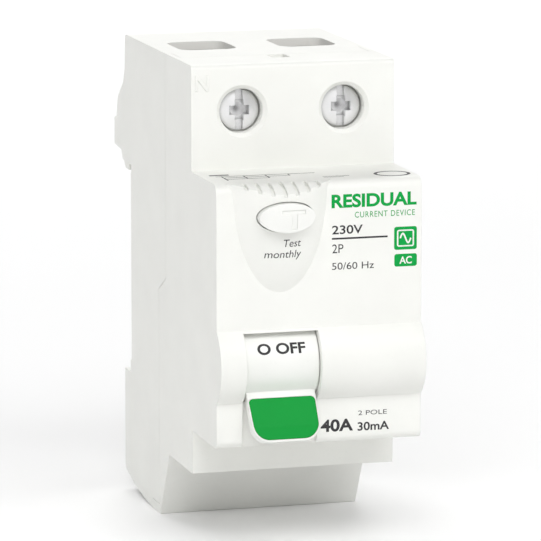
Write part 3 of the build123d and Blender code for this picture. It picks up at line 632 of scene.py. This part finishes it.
def drum_mark(name, text, degrees, left, right, height):
    """A word across the drum, at this many degrees above the front of its axis."""
    axis = Vector(joint("lever_hinge")["pos_m"])
    angle = math.radians(degrees)
    out = Vector((0, -math.cos(angle), math.sin(angle)))
    along = Vector((0, math.sin(angle), math.cos(angle)))
    origin = Vector((0, axis.y, axis.z)) + out * DRUM_RADIUS
    flat = text_mesh(text, DRUM_WEIGHT)
    fitted(flat, millimetres(left, -height / 2), millimetres(right, height / 2))
    press(name, flat, "toggle_lever", *GREY_INK, RIGHT, along, -out, origin)


def shelf_prints():
    """Small sign on the step above the nose: a wiring diagram, its notes and an oval."""
    bars = [
        ((-16.3, -47.3), (-12.9, -47.3), 0.8),
        ((-15.6, -48.8), (1.8, -48.8), 0.25),
        ((-14.6, -50.4), (-3.0, -50.4), 0.25),
        ((-14.6, -52.0), (-7.0, -52.0), 0.25),
        ((-14.6, -48.8), (-14.6, -53.2), 0.22),
        ((-10.8, -48.8), (-10.8, -52.0), 0.22),
        ((-7.0, -48.8), (-7.0, -52.0), 0.22),
        ((-3.0, -48.8), (-3.0, -50.4), 0.22),
        ((1.9, -53.3), (6.6, -53.3), 0.18),
        ((1.9, -54.2), (5.4, -54.2), 0.18),
    ]
    ring = [
        (14.2 + 2.9 * math.cos(math.radians(a)), -53.2 + 2.5 * math.sin(math.radians(a)))
        for a in range(0, 360, 15)
    ]
    marks = [stroke_mesh([start, end], width) for start, end, width in bars]
    marks.append(stroke_mesh(ring, 0.55, closed=True))
    for number, mark in enumerate(marks):
        for v in mark.verts:
            v.co *= MM
        press(
            f"print_shelf_{number}", mark, "front_cover", *GREY_INK, RIGHT, BACK, -UP, ORIGIN,
        )


nose_prints()
badges()
boss_prints()
drum_mark("print_off", "O OFF", 29, -11.2, -2.8, 2.0)
drum_mark("print_on", "I ON", -113, -10.6, -3.4, 2.0)
shelf_prints()


# ---- Button spring: real turns of wire, in place of the CAD spring -----------------------
def turns_mesh(name, foot, radius, wire_r, turns, length, steps=28, sides=10):
    """Wire wound about +Y from the foot, with its end turns lying flat."""
    mesh = bmesh.new()
    rings = []
    total = int(turns * steps)
    for i in range(total + 1):
        share = i / total
        rise = min(1.0, max(0.0, (share * turns - 0.6) / (turns - 1.2)))
        angle = math.tau * turns * share
        out = Vector((math.cos(angle), 0, math.sin(angle)))
        centre = foot + out * radius + BACK * (wire_r + rise * (length - 2 * wire_r))
        around = [math.tau * side / sides for side in range(sides)]
        rings.append(
            [
                mesh.verts.new(centre + (out * math.cos(a) + BACK * math.sin(a)) * wire_r)
                for a in around
            ]
        )
    for i in range(total):
        for side in range(sides):
            j = (side + 1) % sides
            mesh.faces.new((rings[i][side], rings[i][j], rings[i + 1][j], rings[i + 1][side]))
    mesh.faces.new(rings[0][::-1])
    mesh.faces.new(rings[-1])
    bmesh.ops.recalc_face_normals(mesh, faces=mesh.faces)
    for face in mesh.faces:
        face.smooth = True
    made = bpy.data.meshes.new(name)
    mesh.to_mesh(made)
    mesh.free()
    piece = bpy.data.objects.new(name, made)
    bpy.context.scene.collection.objects.link(piece)
    return piece


def button_spring():
    low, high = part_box("test_button_spring")
    foot = Vector(((low.x + high.x) / 2, low.y, (low.z + high.z) / 2))
    length = high.y - low.y
    piece = turns_mesh("button_spring_turns", foot, 2.1 * MM, 0.22 * MM, 5.5, length)
    paint(piece, spring)
    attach(piece, "casing")
    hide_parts("test_button_spring")
    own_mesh(piece)


button_spring()


# ---- Stage: floor, light and camera -----------------------------------------------------
FLOOR_HALF = 4.0
FLOOR_GAP = 0.02 * MM


def floor():
    level = cad_box[0].z - FLOOR_GAP
    corners = [(-1, -1), (1, -1), (1, 1), (-1, 1)]
    mesh = bpy.data.meshes.new("floor")
    mesh.from_pydata(
        [(x * FLOOR_HALF, y * FLOOR_HALF, level) for x, y in corners], [], [(0, 1, 2, 3)]
    )
    plane = bpy.data.objects.new("floor", mesh)
    bpy.context.scene.collection.objects.link(plane)
    s = Shader("floor_paper")
    clouds = s.spread(s.noise(0.3, 3), 0, 1)
    s.set(Base_Color=s.mix(clouds, rgb(0.93, 0.93, 0.93), rgb(0.95, 0.95, 0.95)))
    s.set(Roughness=0.9, Specular_IOR_Level=0.1)
    paint(plane, s.material)


def area_light(name, place, target, size, power):
    lamp = bpy.data.lights.new(name, "AREA")
    lamp.shape = "RECTANGLE"
    lamp.size, lamp.size_y = size
    lamp.energy = power
    holder = bpy.data.objects.new(name, lamp)
    bpy.context.scene.collection.objects.link(holder)
    holder.location = place
    holder.rotation_euler = (Vector(target) - Vector(place)).to_track_quat("-Z", "Y").to_euler()


def sky(strength):
    world = bpy.data.worlds.new("studio")
    bpy.context.scene.world = world
    world.use_nodes = True
    background = world.node_tree.nodes["Background"]
    background.inputs["Color"].default_value = rgb(1, 1, 1)
    background.inputs["Strength"].default_value = strength


def camera():
    lens = bpy.data.cameras.new("camera")
    lens.sensor_width = 36.0
    lens.lens = 306.8
    lens.clip_start, lens.clip_end = 0.05, 20.0
    holder = bpy.data.objects.new("camera", lens)
    bpy.context.scene.collection.objects.link(holder)
    holder.location = (-0.21786, -0.79066, 0.14159)
    towards = Vector((0.27051, 0.94704, -0.17307))
    holder.rotation_mode = "QUATERNION"
    holder.rotation_quaternion = towards.to_track_quat("-Z", "Y")
    bpy.context.scene.camera = holder


# Lights: name, place, aim, size in metres, power in watts.
MIDDLE = (0, -0.03, 0)
LIGHTS = [
    ("key_right", (0.35, -0.9, 0.9), MIDDLE, (0.7, 0.7), 5.4),
    ("key_left", (-0.35, -0.9, 0.9), MIDDLE, (0.7, 0.7), 5.9),
    ("side_left", (-1.1, -0.3, 0.5), MIDDLE, (0.7, 0.7), 3.0),
    ("side_right", (1.1, -0.4, 0.6), MIDDLE, (0.7, 0.7), 3.2),
    ("front_soft", (-0.1, -1.3, 0.3), MIDDLE, (1.2, 0.6), 1.6),
    ("floor_wash", (0, 1.6, 1.2), (0, 1.2, -0.04), (2.0, 1.0), 35.0),
]

floor()
sky(0.1)
for light in LIGHTS:
    area_light(*light)
camera()
view = bpy.context.scene.view_settings
view.view_transform = "Standard"
view.look = "None"
